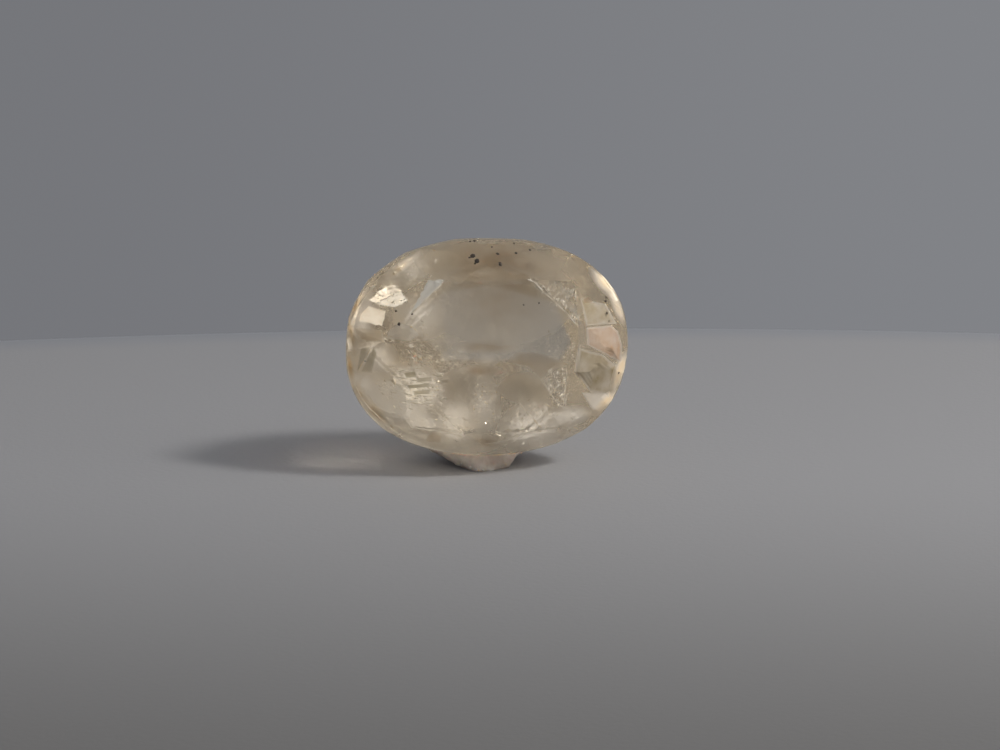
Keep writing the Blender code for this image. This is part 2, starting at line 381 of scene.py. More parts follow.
# Feathers: patches of flakes. Each is an outline in pixels, the flakes in it, their length
# and width, the way they lie in degrees, how much they stray, and how deep they start and end
FLAKE_SIZES = (0.5, 1.3)
FLAKE_THICKNESS = 0.3
FLAKES_TURN = 14
PALE_FEATHERS = (
    (
        ((546, 282), (560, 285), (576, 290), (578, 305), (577, 324), (562, 306)),
        120, 0.16, 0.04, 80, 0.5, (0.10, 0.5),
    ),
    (((530, 278), (546, 283), (562, 306), (577, 326), (550, 302)), 60, 0.12, 0.035, -45, 0.6, (0.08, 0.3)),
    (((543, 372), (566, 365), (566, 409), (553, 402), (547, 388)), 120, 0.15, 0.05, 70, 0.6, (0.3, 1.2)),
    (((474, 383), (480, 383), (481, 422), (473, 422)), 110, 0.05, 0.04, 90, 1.0, (0.6, 2.0)),
    (((480, 384), (497, 382), (495, 420), (481, 420)), 60, 0.045, 0.04, 90, 1.0, (0.6, 2.2)),
    (
        ((390, 366), (440, 372), (446, 400), (436, 412), (400, 404), (386, 385)),
        200, 0.28, 0.04, -12, 0.5, (0.25, 1.4),
    ),
    (((372, 378), (392, 380), (402, 410), (384, 412)), 70, 0.16, 0.05, -30, 0.7, (0.1, 0.6)),
    (((370, 286), (395, 280), (410, 300), (396, 310), (372, 306)), 70, 0.14, 0.05, 30, 0.7, (0.10, 0.4)),
    (((384, 270), (410, 258), (440, 258), (420, 285), (395, 284)), 70, 0.16, 0.04, 45, 0.7, (0.08, 0.6)),
    (((378, 318), (426, 318), (430, 350), (382, 350)), 60, 0.18, 0.04, -20, 0.8, (0.2, 1.2)),
    (((400, 345), (432, 345), (430, 368), (402, 366)), 60, 0.16, 0.05, -35, 0.7, (0.2, 1.0)),
    (((370, 400), (440, 410), (470, 440), (440, 446), (396, 428)), 160, 0.20, 0.04, -25, 0.7, (0.1, 1.4)),
    (((440, 395), (510, 395), (515, 440), (450, 440)), 120, 0.16, 0.04, -20, 0.9, (0.6, 3.0)),
    (((512, 395), (550, 405), (548, 445), (510, 448)), 150, 0.20, 0.04, 55, 0.6, (0.3, 2.2)),
    (((550, 405), (590, 400), (586, 428), (552, 440)), 50, 0.18, 0.05, 20, 0.7, (0.1, 1.0)),
    (((545, 330), (580, 335), (575, 370), (550, 365)), 90, 0.14, 0.04, 60, 0.8, (0.4, 1.8)),
    (((425, 345), (470, 350), (470, 380), (430, 378)), 120, 0.18, 0.04, -20, 0.8, (0.6, 2.4)),
)
BRIGHT_FEATHERS = (
    (((372, 288), (396, 284), (406, 298), (394, 306), (374, 303)), 24, 0.12, 0.05, 20, 0.35, (0.10, 0.3)),
    (((392, 380), (440, 378), (440, 402), (400, 400)), 30, 0.10, 0.05, -15, 0.5, (0.2, 0.8)),
    (((474, 384), (498, 382), (497, 424), (473, 424)), 60, 0.08, 0.08, 0, 0.7, (0.08, 0.4)),
    (((548, 284), (576, 290), (576, 318), (562, 306)), 22, 0.12, 0.04, 80, 0.5, (0.1, 0.4)),
    (((546, 372), (566, 366), (565, 408), (550, 396)), 22, 0.10, 0.04, 60, 0.5, (0.3, 0.8)),
    (((380, 410), (440, 420), (462, 444), (430, 444), (392, 426)), 40, 0.09, 0.05, -25, 0.6, (0.1, 0.8)),
    (((500, 400), (548, 405), (546, 444), (500, 440)), 30, 0.09, 0.04, 50, 0.6, (0.3, 1.2)),
)

# The wax: the fineness of its mesh, how far from the stone it starts to swell and over what
# way, its lumps with their height and waves a millimetre, and its looks. Its colours are the wax's own,
# lightened as painted light for the light that reaches it through the crystal
WAX_VOXEL = 0.05
WAX_KEEPS_CLEAR = 0.05
WAX_SWELLS_OVER = 0.25
WAX_LUMPS = ((0.10, 1.3), (0.06, 3.1), (0.022, 9.0))
WAX_LOOK_WITH_PAINTED_LIGHT = (((0.96, 0.85, 0.73), (0.72, 0.60, 0.50)), 1.6, 0.42)
WAX_SUBSURFACE = 0.35
WAX_SUBSURFACE_RADII = (1.0, 0.6, 0.4)
WAX_SUBSURFACE_DEPTH = 0.4
CRUMB_LOOK = (((0.86, 0.80, 0.72), (0.70, 0.62, 0.53)), 3.0, 0.5)
CRUMB_LUMPS = 0.7
CRUMB_WAVES = 2.5

# Crumbs of wax that stick to the lump: where each shows, and its size
WAX_CRUMBS = (
    (516, 468.5, 0.24),
    (513, 471, 0.16),
    (519, 466, 0.13),
    (508, 473, 0.12),
    (470, 467, 0.14),
    (476, 469, 0.12),
    (483, 470, 0.11),
    (461, 463, 0.12),
)


def from_view(right, away, up):
    """A direction given as the camera's level axes see it, in the row frame."""
    level_right = Vector((math.cos(VIEW_TURN), -math.sin(VIEW_TURN), 0))
    level_away = Vector((math.sin(VIEW_TURN), math.cos(VIEW_TURN), 0))
    return level_right * right + level_away * away + Vector((0, 0, up))


def key_direction():
    return from_view(
        math.sin(KEY_TURN) * math.cos(KEY_RISE),
        -math.cos(KEY_TURN) * math.cos(KEY_RISE),
        math.sin(KEY_RISE),
    )


def girdle_plane():
    """The girdle is the stone's widest level, so its points have the largest x."""
    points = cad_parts["sapphire"].data.vertices
    widest = max(points, key=lambda point: point.co.x)
    return widest.co.y


def stone_middle():
    low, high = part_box("sapphire")
    middle = (Vector(low) + Vector(high)) / 2
    middle.y = girdle_plane()
    return middle


# Camera, lights and stage

def make_camera():
    data = bpy.data.cameras.new("camera")
    camera = bpy.data.objects.new("camera", data)
    bpy.context.scene.collection.objects.link(camera)
    away = CAMERA_AWAY * MM
    toward = from_view(0, math.cos(VIEW_RISE), -math.sin(VIEW_RISE))
    right = from_view(1, 0, 0)
    up = right.cross(toward)
    pixel = MM_PER_PIXEL * MM
    off_right = (STONE_AT[0] - PHOTO_WIDTH / 2) * pixel
    off_up = (PHOTO_HEIGHT / 2 - STONE_AT[1]) * pixel
    camera.location = stone_middle() - toward * away - right * off_right - up * off_up
    camera.rotation_mode = "QUATERNION"
    camera.rotation_quaternion = toward.to_track_quat("-Z", "Y")
    data.sensor_width = SENSOR
    data.lens = SENSOR * away / (PHOTO_WIDTH * pixel)
    data.clip_start = away * CAMERA_NEAR
    data.clip_end = away * CAMERA_FAR
    bpy.context.scene.camera = camera
    return camera


def make_key(name, watts):
    direction = key_direction()
    data = bpy.data.lights.new(name, "AREA")
    data.shape = "DISK"
    data.size = KEY_SIDE * MM
    data.energy = watts
    data.color = KEY_COLOUR
    lamp = bpy.data.objects.new(name, data)
    bpy.context.scene.collection.objects.link(lamp)
    lamp.location = stone_middle() + direction * KEY_AWAY * MM
    lamp.rotation_mode = "QUATERNION"
    lamp.rotation_quaternion = direction.to_track_quat("Z", "Y")
    return lamp


def light_the_inside(pieces, shading):
    """The key light as the crystal lets it in, where no shadow ray can follow it.

    To Blender such a ray is in the crystal all the way, so what the crystal would take
    from it over that distance is given back in the lamp's colour.
    """
    lit = bpy.data.collections.new("inside_the_crystal")
    for piece in pieces:
        lit.objects.link(piece)
    shades = bpy.data.collections.new("shades_inside")
    shades.objects.link(shading)
    lamp = make_key("key_inside", INSIDE_WATTS)
    lamp.data.color = [
        share * math.exp((1 - kept) * CRYSTAL_DENSITY * KEY_AWAY * MM)
        for share, kept in zip(KEY_COLOUR, CRYSTAL_ABSORPTION)
    ]
    lamp.light_linking.receiver_collection = lit
    lamp.light_linking.blocker_collection = shades


def add_node(tree, kind, **settings):
    node = tree.nodes.new(kind)
    for name, value in settings.items():
        setattr(node, name, value)
    return node


def direction_share(tree, place, direction, low, high):
    """How much a direction leans towards another, as 0 to 1 between two cosines."""
    lean = add_node(tree, "ShaderNodeVectorMath", operation="DOT_PRODUCT")
    lean.inputs[1].default_value = direction
    share = add_node(tree, "ShaderNodeMapRange", interpolation_type="SMOOTHSTEP")
    share.inputs["From Min"].default_value = low
    share.inputs["From Max"].default_value = high
    tree.links.new(place.outputs["Generated"], lean.inputs[0])
    tree.links.new(lean.outputs["Value"], share.inputs["Value"])
    return share.outputs["Result"]


def mix_colours(tree, share, first, second):
    """Colours are given as triples or as another node's output."""
    mix = add_node(tree, "ShaderNodeMix", data_type="RGBA")
    tree.links.new(share, mix.inputs["Factor"])
    for socket, colour in ((mix.inputs[6], first), (mix.inputs[7], second)):
        if isinstance(colour, tuple):
            socket.default_value = (*colour, 1)
        else:
            tree.links.new(colour, socket)
    return mix.outputs[2]


def make_world():
    world = bpy.data.worlds.new("studio")
    bpy.context.scene.world = world
    world.use_nodes = True
    tree = world.node_tree
    place = add_node(tree, "ShaderNodeTexCoord")
    rightness = direction_share(tree, place, from_view(1, 0, 0), -BACKDROP_SPREAD, BACKDROP_SPREAD)
    backdrop = mix_colours(tree, rightness, BACKDROP_LEFT, BACKDROP_RIGHT)
    boxness = direction_share(tree, place, key_direction(), SOFT_BOX_OUTER, SOFT_BOX_INNER)
    colour = mix_colours(tree, boxness, backdrop, SOFT_BOX_GLOW)
    tree.links.new(colour, tree.nodes["Background"].inputs["Color"])


def make_floor():
    """A pale disk whose colour deepens towards the camera as painted shade, and which melts into the
    backdrop.
    """
    mesh = bmesh.new()
    radius = FLOOR_RADIUS * MM
    bmesh.ops.create_circle(mesh, cap_ends=True, segments=FLOOR_SIDES, radius=radius)
    data = bpy.data.meshes.new("floor")
    mesh.to_mesh(data)
    mesh.free()
    floor = bpy.data.objects.new("floor", data)
    bpy.context.scene.collection.objects.link(floor)
    floor.location = from_view(FLOOR_MIDDLE[0] * MM, FLOOR_MIDDLE[1] * MM, 0)
    floor.rotation_euler.z = -VIEW_TURN
    data.materials.append(floor_material())


def floor_material():
    material = bpy.data.materials.new("floor")
    material.use_nodes = True
    tree = material.node_tree
    shader = tree.nodes["Principled BSDF"]
    place = add_node(tree, "ShaderNodeTexCoord")
    parts = add_node(tree, "ShaderNodeSeparateXYZ")
    tree.links.new(place.outputs["Object"], parts.inputs["Vector"])
    # Painted shade: the floor's colour darkens towards the camera
    painted_shade_share = add_node(tree, "ShaderNodeMapRange", interpolation_type="SMOOTHSTEP")
    painted_shade_share.inputs["From Min"].default_value = FLOOR_PALE_AT * MM
    painted_shade_share.inputs["From Max"].default_value = FLOOR_PAINTED_SHADE_AT * MM
    tree.links.new(parts.outputs["Y"], painted_shade_share.inputs["Value"])
    colour = mix_colours(tree, painted_shade_share.outputs["Result"], FLOOR_PALE, FLOOR_PAINTED_SHADE)
    radius = add_node(tree, "ShaderNodeVectorMath", operation="LENGTH")
    tree.links.new(place.outputs["Object"], radius.inputs[0])
    edge = add_node(tree, "ShaderNodeMapRange", interpolation_type="SMOOTHSTEP")
    edge.inputs["From Min"].default_value = (FLOOR_RADIUS - FLOOR_RIM) * MM
    edge.inputs["From Max"].default_value = FLOOR_RADIUS * MM
    tree.links.new(radius.outputs["Value"], edge.inputs["Value"])
    colour = mix_colours(tree, edge.outputs["Result"], colour, FLOOR_EDGE)
    tree.links.new(colour, shader.inputs["Base Color"])
    shader.inputs["Roughness"].default_value = FLOOR_ROUGHNESS
    grain = add_node(tree, "ShaderNodeTexNoise")
    grain.inputs["Scale"].default_value = FLOOR_GRAINS_PER_MM / MM
    grain.inputs["Detail"].default_value = FLOOR_GRAIN_DETAIL
    tree.links.new(place.outputs["Object"], grain.inputs["Vector"])
    bump = add_node(tree, "ShaderNodeBump")
    bump.inputs["Strength"].default_value = FLOOR_GRAIN_STRENGTH
    bump.inputs["Distance"].default_value = FLOOR_GRAIN_HEIGHT * MM
    tree.links.new(grain.outputs["Fac"], bump.inputs["Height"])
    tree.links.new(bump.outputs["Normal"], shader.inputs["Normal"])
    return material


# The crystal

def stone_mesh():
    """The CAD stone, with its triangles joined back into whole facets."""
    mesh = bmesh.new()
    mesh.from_mesh(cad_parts["sapphire"].data)
    bmesh.ops.dissolve_limit(
        mesh, angle_limit=FLAT_WITHIN, verts=mesh.verts, edges=mesh.edges
    )
    return mesh


def make_piece(name, mesh_data, slot, *replaced):
    piece = bpy.data.objects.new(name, mesh_data)
    bpy.context.scene.collection.objects.link(piece)
    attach(piece, "root")
    if replaced:
        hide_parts(*replaced)
    return piece


def crystal_material():
    """See-through crystal: polished crown, duller pavilion, ground girdle, straw tint."""
    material = bpy.data.materials.new("straw_sapphire")
    material.use_nodes = True
    tree = material.node_tree
    shader = tree.nodes["Principled BSDF"]
    shader.inputs["Base Color"].default_value = (*CRYSTAL_TINT, 1)
    shader.inputs["Transmission Weight"].default_value = 1.0
    shader.inputs["IOR"].default_value = IOR
    finish = add_node(tree, "ShaderNodeAttribute", attribute_name="finish")
    tree.links.new(finish.outputs["Fac"], shader.inputs["Roughness"])
    absorb = add_node(tree, "ShaderNodeVolumeAbsorption")
    absorb.inputs["Color"].default_value = (*CRYSTAL_ABSORPTION, 1)
    absorb.inputs["Density"].default_value = CRYSTAL_DENSITY
    tree.links.new(absorb.outputs["Volume"], tree.nodes["Material Output"].inputs["Volume"])
    return material


def make_stone():
    """The cut stone with hair-fine worn edges and each facet's finish."""
    mesh = stone_mesh()
    sharp = [edge for edge in mesh.edges if edge.calc_face_angle(0) > SHARP_FROM]
    bmesh.ops.bevel(
        mesh, geom=sharp, offset=EDGE_WEAR * MM, offset_type="WIDTH", segments=2, profile=0.5,
        affect="EDGES", clamp_overlap=True,
    )
    data = bpy.data.meshes.new("cut_stone")
    finish_layer = mesh.faces.layers.float.new("finish")
    for face in mesh.faces:
        if face.normal.y < -GIRDLE_LEAN:
            face[finish_layer] = CROWN_ROUGHNESS
        elif face.normal.y > GIRDLE_LEAN:
            face[finish_layer] = PAVILION_ROUGHNESS
        else:
            face[finish_layer] = GIRDLE_ROUGHNESS
    mesh.to_mesh(data)
    mesh.free()
    data.materials.append(crystal_material())
    data.shade_flat()
    make_piece("cut_stone", data, "sapphire", "sapphire")


# Places inside the crystal, worked out in millimetres

def photo_ray(x, y):
    """Start and direction of the camera's ray through a pixel of the photograph."""
    lens_in_pixels = camera.data.lens * PHOTO_WIDTH / SENSOR
    ahead = Vector((x - PHOTO_WIDTH / 2, PHOTO_HEIGHT / 2 - y, -lens_in_pixels))
    return camera.location / MM, (camera.rotation_quaternion @ ahead).normalized()


def refracted(ray, normal, ratio):
    """The ray's direction once it has gone through a surface."""
    cosine = -ray.dot(normal)
    along = ratio * cosine - math.sqrt(1 - ratio ** 2 * (1 - cosine ** 2))
    return (ray * ratio + normal * along).normalized()


def facet_planes():
    """Each facet's outward normal, and how far along it the facet lies."""
    mesh = stone_mesh()
    normals = numpy.array([face.normal for face in mesh.faces])
    levels = numpy.array([face.normal.dot(face.verts[0].co) / MM for face in mesh.faces])
    mesh.free()
    return normals, levels


def stone_tree():
    mesh = stone_mesh()
    bmesh.ops.scale(mesh, vec=(1 / MM, 1 / MM, 1 / MM), verts=mesh.verts)
    tree = BVHTree.FromBMesh(mesh)
    mesh.free()
    return tree


def room_at(spot):
    """How far a place is from the nearest facet. Outside the stone it is negative."""
    normals, levels = planes
    return float((levels - normals @ numpy.array(spot)).min())


def in_stone(x, y, depth):
    """The place that shows at a pixel, this deep behind the facet there, or nothing."""
    start, ray = photo_ray(x, y)
    spot, normal, _, _ = tree_of_stone.ray_cast(start, ray)
    if spot is None:
        return None
    place = spot + refracted(ray, normal, 1 / IOR) * depth
    return place if room_at(place) > SKIN else None


# Small closed forms, joined into one mesh by the thousand

def small_form(make):
    """The points and faces of one small form, for copying."""
    mesh = bmesh.new()
    make(mesh)
    bmesh.ops.triangulate(mesh, faces=mesh.faces)
    points = numpy.array([vert.co for vert in mesh.verts])
    faces = numpy.array([[vert.index for vert in face.verts] for face in mesh.faces])
    mesh.free()
    return points, faces


def grain_form():
    """A grain with four faces."""
    return small_form(
        lambda mesh: bmesh.ops.create_cone(
            mesh, cap_ends=True, segments=3, radius1=1, radius2=0, depth=GRAIN_HEIGHT
        )
    )


def flake_form():
    """A flake with eight faces, which its three half-axes stretch."""
    return small_form(
        lambda mesh: bmesh.ops.create_uvsphere(mesh, u_segments=4, v_segments=2, radius=1)
    )


def joined_copies(name, form, places):
    """One mesh of a form's copies. A place is a centre and three half-axes, all in millimetres."""
    points, faces = form
    centres = numpy.array([place[0] for place in places])
    axes = numpy.array([place[1] for place in places])
    spread = centres[:, None, :] + numpy.einsum("pk,nkd->npd", points, axes)
    shifts = numpy.arange(len(places))[:, None, None] * len(points)
    data = bpy.data.meshes.new(name)
    corners = (spread.reshape(-1, 3) * MM).tolist()
    data.from_pydata(corners, [], (faces[None] + shifts).reshape(-1, 3).tolist())
    data.update()
    mesh = bmesh.new()
    mesh.from_mesh(data)
    bmesh.ops.recalc_face_normals(mesh, faces=mesh.faces)
    mesh.to_mesh(data)
    mesh.free()
    return data


def any_turn(draw):
    """A random rotation, the same for the same draws."""
    turn = Quaternion([draw.gauss(0, 1) for _ in range(4)]).normalized()
    return turn.to_matrix()


def flake_axes(lean, tilt, glints, length, width, thickness, draw):
    """A flake's half-axes: lean turns its length in the view, tilt strays from facing it."""
    right = from_view(1, 0, 0)
    up = from_view(0, math.sin(VIEW_RISE), math.cos(VIEW_RISE))
    facing = right.cross(up)
    if glints:
        facing = (facing + key_direction()).normalized()
        right = up.cross(facing).normalized()
        up = facing.cross(right)
    along = right * math.cos(lean) + up * math.sin(lean)
    across = facing.cross(along)
    stray = Quaternion(along, draw.gauss(0, tilt)) @ Quaternion(across, draw.gauss(0, tilt))
    return [
        stray @ (along * length / 2), stray @ (across * width / 2), stray @ (facing * thickness / 2)
    ]


# The crystal's inclusions, and the painted light and reflection laid among them

def cloud_share(spot, middle):
    """How thick the milky haze is at a place: thicker low down and to the left, in streaks."""
    low = min(1.0, max(0.0, CLOUD_LOW_AT_MIDDLE - (spot.z - middle.z) / CLOUD_LOW_OVER))
    left = min(1.0, max(0.0, CLOUD_LEFT_AT_MIDDLE - (spot.x - middle.x) / CLOUD_LEFT_OVER))
    lumps = 0.5 + noise.noise(spot * CLOUD_LUMPS_PER_MM)
    slanting = Vector((
        spot.x + CLOUD_STREAKS_LEAN * spot.z,
        spot.y * CLOUD_STREAKS_LONG,
        spot.z - CLOUD_STREAKS_CLIMB * spot.x,
    ))
    streaks = 0.5 + noise.noise(slanting * CLOUD_STREAKS_PER_MM + CLOUD_STREAKS_START)
    thick = CLOUD_EVERYWHERE + CLOUD_LOW * low + CLOUD_LEFT * left
    return thick * lumps * (CLOUD_BETWEEN_STREAKS + streaks)


def make_cloud(name, side, draw):
    """A cloud of pinpoint crystals in one half of the stone: side is -1 left or 1 right."""
    low, high = [numpy.array(corner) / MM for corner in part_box("sapphire")]
    middle = stone_middle() / MM
    if side < 0:
        high[0] = middle.x
    else:
        low[0] = middle.x
    chance = numpy.random.default_rng(SEED + side)
    tries = chance.uniform(low, high, (CLOUD_TRIES, 3))
    for normal, level in zip(*planes):
        tries = tries[level - tries @ normal > SKIN]
    places = []
    for spot in tries:
        if draw.random() < cloud_share(Vector(spot), middle):
            size = draw.uniform(*CLOUD_GRAIN_SIZE)
            places.append((spot, [row * size for row in any_turn(draw)]))
    data = joined_copies(name, grain_form(), places)
    data.materials.append(cloud_material())
    return make_piece(name, data, "sapphire")


def plain_material(name, colours, scale, roughness, transmission=0.0, metallic=0.0):
    """A material whose colour wanders between two, at so many waves a millimetre."""
    material = bpy.data.materials.new(name)
    material.use_nodes = True
    tree = material.node_tree
    shader = tree.nodes["Principled BSDF"]
    place = add_node(tree, "ShaderNodeTexCoord")
    waves = add_node(tree, "ShaderNodeTexNoise")
    waves.inputs["Scale"].default_value = scale / MM
    waves.inputs["Detail"].default_value = WAVES_DETAIL
    tree.links.new(place.outputs["Object"], waves.inputs["Vector"])
    share = add_node(tree, "ShaderNodeMapRange", interpolation_type="SMOOTHSTEP")
    share.inputs["From Min"].default_value = WAVES_BETWEEN[0]
    share.inputs["From Max"].default_value = WAVES_BETWEEN[1]
    tree.links.new(waves.outputs["Fac"], share.inputs["Value"])
    colour = mix_colours(tree, share.outputs["Result"], *colours)
    tree.links.new(colour, shader.inputs["Base Color"])
    shader.inputs["Roughness"].default_value = roughness
    shader.inputs["Transmission Weight"].default_value = transmission
    shader.inputs["Metallic"].default_value = metallic
    shader.inputs["IOR"].default_value = IOR if transmission else PLAIN_IOR
    return material


def cloud_material():
    """One material for both clouds."""
    if "pale_veil" in bpy.data.materials:
        return bpy.data.materials["pale_veil"]
    return plain_material("pale_veil", *CLOUD_LOOK)


def make_specks(draw):
    """Each speck is a squashed, uneven ball that lies wholly inside the crystal."""
    mesh = bmesh.new()
    for x, y, size, depth in DARK_SPECKS:
        spot = in_stone(x, y, max(depth, size * SPECK_SINKS))
        if spot is None:
            continue
        made = bmesh.ops.create_icosphere(mesh, subdivisions=1, radius=size / 2)["verts"]
        squash = Matrix.Diagonal(Vector([draw.uniform(*SPECK_SQUASH) for _ in range(3)])).to_4x4()
        bmesh.ops.transform(mesh, matrix=any_turn(draw).to_4x4() @ squash, verts=made)
        for vert in made:
            vert.co *= draw.uniform(*SPECK_LUMPS)
        bmesh.ops.translate(mesh, vec=spot, verts=made)
    return finish_piece("dark_specks", mesh, DARK_LOOK)


def finish_piece(name, mesh, look, slot="sapphire", replaced=()):
    """Makes a piece in metres from a mesh in millimetres, with its material."""
    bmesh.ops.scale(mesh, vec=(MM, MM, MM), verts=mesh.verts)
    bmesh.ops.recalc_face_normals(mesh, faces=mesh.faces)
    data = bpy.data.meshes.new(name)
    mesh.to_mesh(data)
    mesh.free()
    data.materials.append(plain_material(name, *look))
    return make_piece(name, data, slot, *replaced)


def broken_outline(outline, draw):
    """An outline with its sides broken into short uneven steps."""
    corners = []
    for (x, y), (next_x, next_y) in zip(outline, outline[1:] + outline[:1]):
        corners.append((x, y))
        steps = max(1, round(math.hypot(next_x - x, next_y - y) / PLATE_STEP))
        for step in range(1, steps):
            share = step / steps
            corners.append((
                x + (next_x - x) * share + draw.gauss(0, PLATE_RAGGED),
                y + (next_y - y) * share + draw.gauss(0, PLATE_RAGGED),
            ))
    return corners


def make_plates(name, outlines, look, draw):
    """Thin flat plates, each closed and behind the facet that it shows through. Some are fractures; the
    others are painted light and a painted reflection.
    """
    mesh = bmesh.new()
    for plain_outline, depth, turned, raised in outlines:
        outline = broken_outline(plain_outline, draw)
        left = min(x for x, _ in outline)
        foot = max(y for _, y in outline)
        spots = []
        for x, y in outline:
            slope = (x - left) * turned + (foot - y) * raised
            spots.append(in_stone(x, y, depth + slope * MM_PER_PIXEL))
        corners = [mesh.verts.new(spot) for spot in spots if spot is not None]
        if len(corners) < 3:
            continue
        face = mesh.faces.new(corners)
        back = bmesh.ops.extrude_face_region(mesh, geom=[face], use_keep_orig=True)["geom"]
        behind = [piece for piece in back if isinstance(piece, bmesh.types.BMVert)]
        bmesh.ops.translate(mesh, vec=(0, PLATE_THICKNESS, 0), verts=behind)
    bmesh.ops.triangulate(mesh, faces=mesh.faces)
    return finish_piece(name, mesh, look)


def add_veil(mesh, outline, depth, thickness, solid_part, turned=0.0, raised=0.0):
    """A closed lens-like sheet whose points carry how milky the veil is there."""
    milk = mesh.verts.layers.float["milk"]
    middle = Vector((sum(x for x, _ in outline), sum(y for _, y in outline))) / len(outline)
    centre = Vector(STONE_AT)
    rings = []
    for ring in range(VEIL_RINGS, -1, -1):
        share = ring / VEIL_RINGS
        made = []
        for x, y in outline:
            pixel = middle.lerp(Vector((x, y)), max(share, VEIL_INNERMOST))
            slope = (pixel.x - middle.x) * turned + (middle.y - pixel.y) * raised
            depth_here = max(min(depth, LEAST_DEPTH), depth + slope * MM_PER_PIXEL)
            spot = in_stone(pixel.x, pixel.y, depth_here)
            while spot is None:
                pixel = pixel.lerp(centre, STEP_INWARDS)
                spot = in_stone(pixel.x, pixel.y, depth_here)
            vert = mesh.verts.new(spot)
            fade = min(1.0, (1 - share) / (1 - solid_part))
            vert[milk] = thickness * fade * fade * (3 - 2 * fade)
            made.append(vert)
        rings.append(made)
    faces = [mesh.faces.new(rings[-1])]
    for outer, inner in zip(rings, rings[1:]):
        for index in range(len(outline)):
            after = (index + 1) % len(outline)
            faces.append(mesh.faces.new((outer[index], outer[after], inner[after], inner[index])))
    back = bmesh.ops.extrude_face_region(mesh, geom=faces, use_keep_orig=True)["geom"]
    behind = [piece for piece in back if isinstance(piece, bmesh.types.BMVert)]
    bmesh.ops.translate(mesh, vec=(0, PLATE_THICKNESS, 0), verts=behind)


def veil_material(name, colour, smoky):
    """Lets light straight through where a veil is thin. Milky ones scatter it where thick."""
    material = bpy.data.materials.new(name)
    material.use_nodes = True
    tree = material.node_tree
    shader = tree.nodes["Principled BSDF"]
    shader.inputs["Roughness"].default_value = VEIL_ROUGHNESS
    shader.inputs["IOR"].default_value = VEIL_IOR
    shader.inputs["Specular IOR Level"].default_value = 0.0
    milk = add_node(tree, "ShaderNodeAttribute", attribute_name="milk")
    place = add_node(tree, "ShaderNodeTexCoord")
    waves = add_node(tree, "ShaderNodeTexNoise")
    waves.inputs["Scale"].default_value = VEIL_WAVES_PER_MM / MM
    waves.inputs["Detail"].default_value = VEIL_DETAIL
    tree.links.new(place.outputs["Object"], waves.inputs["Vector"])
    uneven = add_node(tree, "ShaderNodeMapRange")
    uneven.inputs["From Min"].default_value = VEIL_UNEVEN_BETWEEN[0]
    uneven.inputs["From Max"].default_value = VEIL_UNEVEN_BETWEEN[1]
    uneven.inputs["To Min"].default_value = VEIL_UNEVEN[0]
    uneven.inputs["To Max"].default_value = VEIL_UNEVEN[1]
    tree.links.new(waves.outputs["Fac"], uneven.inputs["Value"])
    product = add_node(tree, "ShaderNodeMath", operation="MULTIPLY", use_clamp=True)
    tree.links.new(milk.outputs["Fac"], product.inputs[0])
    tree.links.new(uneven.outputs["Result"], product.inputs[1])
    shader.inputs["Transmission Weight"].default_value = 1.0
    if not smoky:
        clear = add_node(tree, "ShaderNodeMath", operation="SUBTRACT", use_clamp=True)
        clear.inputs[0].default_value = 1.0
        tree.links.new(product.outputs["Value"], clear.inputs[1])
        tree.links.new(clear.outputs["Value"], shader.inputs["Transmission Weight"])
    tint = mix_colours(tree, product.outputs["Value"], (1.0, 1.0, 1.0), colour)
    tree.links.new(tint, shader.inputs["Base Color"])
    return material


def make_veils(name, sheets, puffs, colour, smoky=False):
    """Sheets and puffs of one colour. Smoky ones only take light away as it goes through."""
    mesh = bmesh.new()
    mesh.verts.layers.float.new("milk")
    for outline, depth, thickness, solid_part in sheets:
        add_veil(mesh, outline, depth, thickness, solid_part)
    for x, y, half_length, half_width, lean, depth, thickness in puffs:
        outline = []
        for side in range(PUFF_SIDES):
            angle = 2 * math.pi * side / PUFF_SIDES
            arm = Vector((half_length * math.cos(angle), half_width * math.sin(angle)))
            arm.rotate(Matrix.Rotation(-math.radians(lean), 2))
            outline.append((x + arm.x, y + arm.y))
        add_veil(mesh, outline, depth, thickness, 0.0, PUFF_TURNED, PUFF_RAISED)
    bmesh.ops.triangulate(mesh, faces=mesh.faces)
    bmesh.ops.scale(mesh, vec=(MM, MM, MM), verts=mesh.verts)
    bmesh.ops.recalc_face_normals(mesh, faces=mesh.faces)
    data = bpy.data.meshes.new(name)
    mesh.to_mesh(data)
    mesh.free()
    data.materials.append(veil_material(name, colour, smoky))
    return make_piece(name, data, "sapphire")


def make_streaks(name, lines, look, draw):
    """Tapered slivers laid end to end along each line."""
    places = []
    for pixels, width, depth in lines:
        spots = [in_stone(x, y, depth) for x, y in pixels]
        for first, last in zip(spots, spots[1:]):
            if first is None or last is None:
                continue
            run = last - first
            side = run.normalized().cross(from_view(0, 1, 0)).normalized()
            back = run.normalized().cross(side)
            breadth = width * draw.uniform(*STREAK_WIDTHS)
            places.append(
                ((first + last) / 2, [run * STREAK_REACH, side * breadth / 2, back * breadth / 4])
            )
    data = joined_copies(name, flake_form(), places)
    data.materials.append(plain_material(name, *look))
    return make_piece(name, data, "sapphire")


def inside_outline(x, y, outline):
    """Whether a pixel is inside an outline whose first corner sees all the others."""
    spot = Vector((x, y))
    corners = [Vector(corner) for corner in outline]
    fans = zip(corners[1:], corners[2:])
    return any(intersect_point_tri_2d(spot, corners[0], left, right) for left, right in fans)


